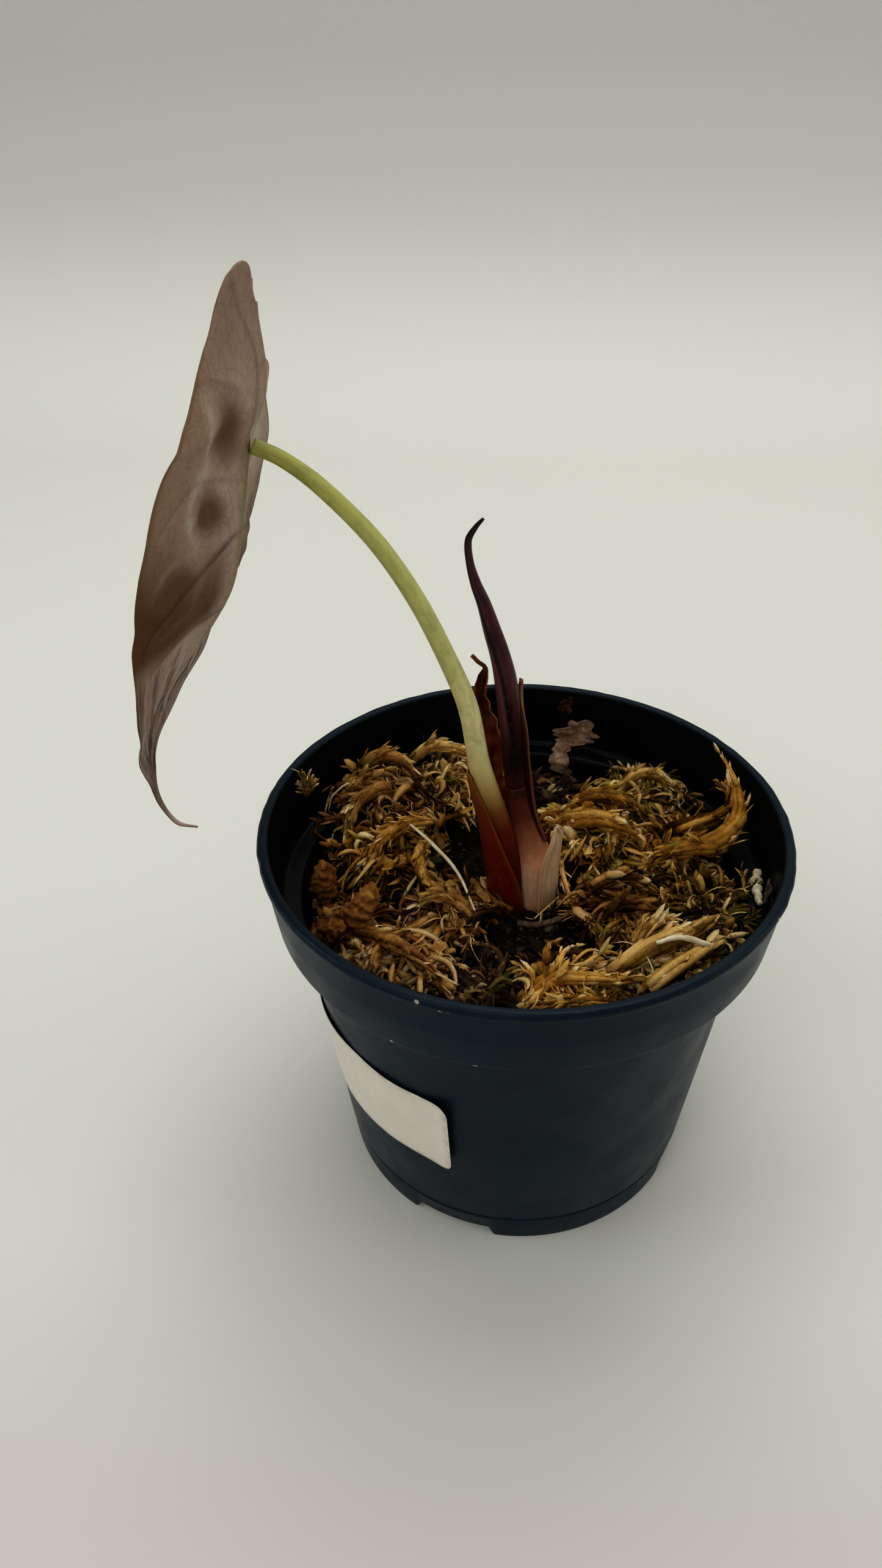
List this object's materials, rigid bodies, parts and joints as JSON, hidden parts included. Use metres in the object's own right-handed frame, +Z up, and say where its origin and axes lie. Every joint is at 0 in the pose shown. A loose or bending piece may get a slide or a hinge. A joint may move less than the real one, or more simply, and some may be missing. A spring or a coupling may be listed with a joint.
{
  "type": "potted alocasia",
  "caption": "Round dark nursery pot with a blank wrapped label, peat and old moss, an arching petiole with a hanging arrow-shaped leaf, and a rolled new leaf in its sheaths.",
  "frame": {"origin": "centre of the pot's foot, on the surface that the pot stands on", "axes": "+Z up along the pot's axis; the open leaf leans out towards -X; the label and the underside of the open leaf are both seen from -Y"},
  "size_m": [0.1465, 0.12, 0.2118],
  "materials": {
    "pot_plastic": "satin",
    "label_paper": "matte",
    "peat": "matte",
    "leaf": "satin",
    "petiole": "satin",
    "new_leaf": "gloss",
    "stem_foot": "satin",
    "red_sheath": "satin",
    "pale_sheath": "satin",
    "dry_leaf": "matte",
    "root": "matte",
    "straw": "matte",
    "moss_brown": "matte",
    "moss_gold": "matte",
    "moss_pale": "matte",
    "moss_dark": "matte"
  },
  "bodies": {
    "root": {"pot": "pot_plastic", "label": "label_paper", "peat": "peat", "leaf_blade": "leaf", "petiole": "petiole", "stem_foot": "stem_foot", "new_leaf": "new_leaf", "red_sheath": "red_sheath", "scale_leaf": "pale_sheath", "bud_sheath": "pale_sheath", "dry_sheath": "dry_leaf", "root_stub": "root", "wall_flake": "dry_leaf", "wall_scrap": "dry_leaf", "pale_curl": "straw", "brown_scrap": "dry_leaf", "wall_sprig": "moss_pale", "straw_left": "straw", "straw_right": "straw", "moss_right": "moss_gold", "moss_left_back": "moss_brown", "moss_pale_back": "moss_pale", "moss_left": "moss_pale", "moss_nodules": "moss_brown", "moss_left_front": "moss_brown", "moss_front": "moss_dark", "moss_front_gold": "moss_gold", "moss_front_right": "moss_pale", "moss_spikes": "moss_gold", "moss_middle_right": "moss_brown", "moss_behind_stem": "moss_gold", "moss_beside_stem": "moss_brown", "moss_back": "moss_dark", "moss_back_right": "moss_brown"}
  },
  "joints": []
}
